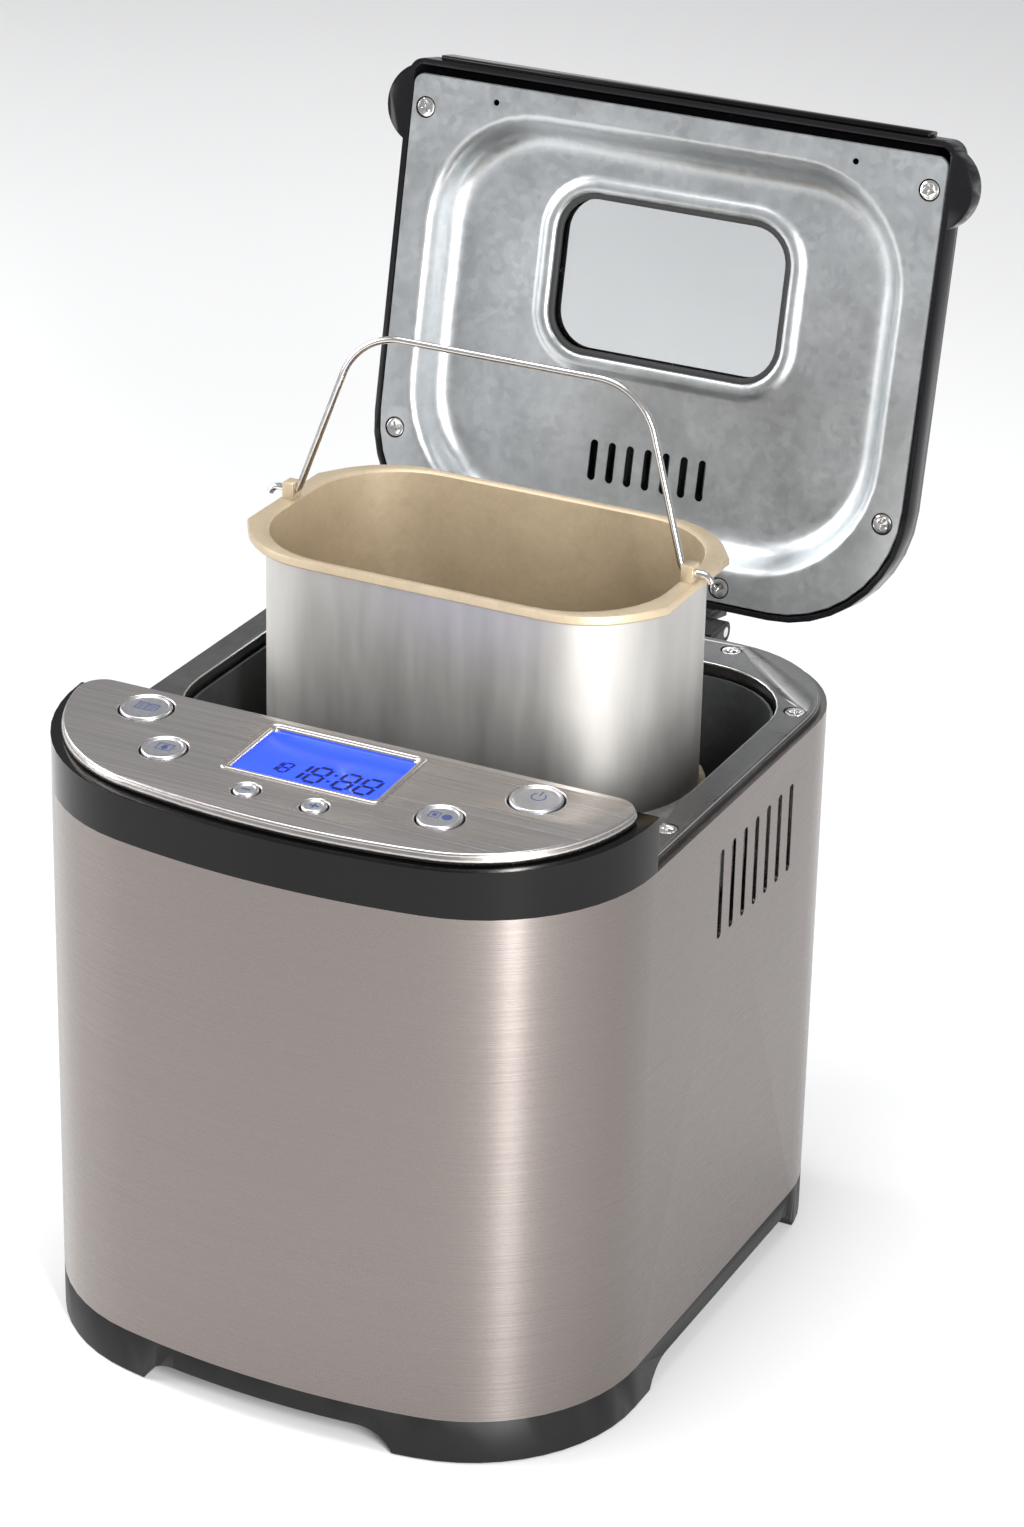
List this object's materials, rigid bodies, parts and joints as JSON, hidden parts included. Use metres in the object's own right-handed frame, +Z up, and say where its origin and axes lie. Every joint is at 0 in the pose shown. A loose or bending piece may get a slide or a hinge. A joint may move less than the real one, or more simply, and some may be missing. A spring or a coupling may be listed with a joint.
{
  "type": "bread machine",
  "caption": "Household bread machine in brushed steel with an open windowed lid, control panel with display and buttons, and a raised lift-out pan with wire bail and kneading paddle.",
  "frame": {"origin": "on the standing surface, under the middle of the object's box", "axes": "+Z up; the control panel faces -Y; +X to the right seen from the front; lid hinge along X at the back of the chamber"},
  "size_m": [0.24, 0.3327, 0.4016],
  "materials": {
    "brushed_stainless": "horizontally brushed",
    "panel_steel": "fine brushed",
    "matte_black": "matte",
    "gloss_black": "gloss",
    "dark_ring": "satin metallic",
    "liner_grey": "satin",
    "zinc": "satin",
    "pan_aluminium": "satin",
    "ceramic_beige": "satin ceramic",
    "steel": "polished",
    "glass": "clear",
    "rubber": "matte",
    "display_blue": "lit",
    "circuit_green": "matte",
    "white_ceramic": "satin",
    "sintered": "as cast",
    "button_cap": "satin"
  },
  "bodies": {
    "machine": {"base": "matte_black", "foot_pads": "rubber", "base_screws": "steel", "body_wrap": "brushed_stainless", "rear_cover": "matte_black", "cord_gland": "rubber", "trim_ring": "dark_ring", "ring_screws": "steel", "front_band": "gloss_black", "panel_plate": "panel_steel", "display_window": "glass", "display_module": "display_blue", "control_board": "circuit_green", "power_board": "circuit_green", "chamber_liner": "liner_grey", "heat_shield": "zinc", "heater": "sintered", "heater_terminals": "white_ceramic", "heater_clips": "zinc", "temp_sensor": "steel", "seat_ring": "zinc", "chassis": "zinc", "bearing_housing": "sintered", "motor_bracket": "zinc", "motor": "zinc", "belt": "rubber", "hinge_brackets": "matte_black", "hinge_pins": "steel"},
    "lid": {"lid_shell": "matte_black", "lid_front_trim": "gloss_black", "lid_inner_plate": "zinc", "lid_screws": "steel", "window_seal": "rubber", "lid_glass_inner": "glass", "lid_glass_outer": "glass", "lid_hinge_arms": "matte_black"},
    "pan": {"pan_body": "pan_aluminium", "pan_base_band": "ceramic_beige", "bail_tabs": "ceramic_beige", "pan_bush": "sintered"},
    "bail_wire": {"bail": "steel"},
    "kneader": {"paddle": "sintered", "pan_shaft": "steel", "pan_coupling": "sintered"},
    "drive": {"drive_pulley": "matte_black", "drive_shaft": "steel", "drive_coupling": "sintered"},
    "motor_rotor": {"motor_pulley": "matte_black"},
    "key_menu": {"button_menu": "button_cap"},
    "key_loaf": {"button_loaf": "button_cap"},
    "key_minus": {"button_minus": "button_cap"},
    "key_plus": {"button_plus": "button_cap"},
    "key_colour": {"button_colour": "button_cap"},
    "key_start": {"button_start": "button_cap"}
  },
  "joints": [
    {"name": "lid_hinge", "type": "hinge", "parent": "machine", "child": "lid", "pos_m": [0, 0.10565, 0.2102], "axis": [1, 0, 0], "range_deg": [0, 101.4]},
    {"name": "pan_lift", "type": "slide", "parent": "machine", "child": "pan", "axis": [0, 0, 1], "range_m": [-0.0775, 0]},
    {"name": "bail_hinge", "type": "hinge", "parent": "pan", "child": "bail_wire", "pos_m": [0, -0.00235, 0.2805], "axis": [1, 0, 0], "range_deg": [0, 97]},
    {"name": "kneader_spin", "type": "hinge", "parent": "pan", "child": "kneader", "pos_m": [0, -0.00235, 0.2], "axis": [0, 0, 1], "continuous": true},
    {"name": "drive_spin", "type": "hinge", "parent": "machine", "child": "drive", "pos_m": [0, -0.00235, 0.08], "axis": [0, 0, 1], "continuous": true},
    {"name": "motor_spin", "type": "hinge", "parent": "machine", "child": "motor_rotor", "pos_m": [-0.05, -0.12135, 0.04], "axis": [0, 0, 1], "continuous": true},
    {"name": "press_menu", "type": "slide", "parent": "machine", "child": "key_menu", "axis": [0, 0.0523, -0.9986], "range_m": [0, 0.0008], "stiffness_N_per_m": 400},
    {"name": "press_loaf", "type": "slide", "parent": "machine", "child": "key_loaf", "axis": [0, 0.0523, -0.9986], "range_m": [0, 0.0008], "stiffness_N_per_m": 400},
    {"name": "press_minus", "type": "slide", "parent": "machine", "child": "key_minus", "axis": [0, 0.0523, -0.9986], "range_m": [0, 0.0008], "stiffness_N_per_m": 400},
    {"name": "press_plus", "type": "slide", "parent": "machine", "child": "key_plus", "axis": [0, 0.0523, -0.9986], "range_m": [0, 0.0008], "stiffness_N_per_m": 400},
    {"name": "press_colour", "type": "slide", "parent": "machine", "child": "key_colour", "axis": [0, 0.0523, -0.9986], "range_m": [0, 0.0008], "stiffness_N_per_m": 400},
    {"name": "press_start", "type": "slide", "parent": "machine", "child": "key_start", "axis": [0, 0.0523, -0.9986], "range_m": [0, 0.0008], "stiffness_N_per_m": 400}
  ],
  "couplings": [
    {"joint": "pan_lift", "follows": "lid_hinge", "m_per_rad": -0.04379},
    {"joint": "bail_hinge", "follows": "lid_hinge", "ratio": 0.9566}
  ]
}
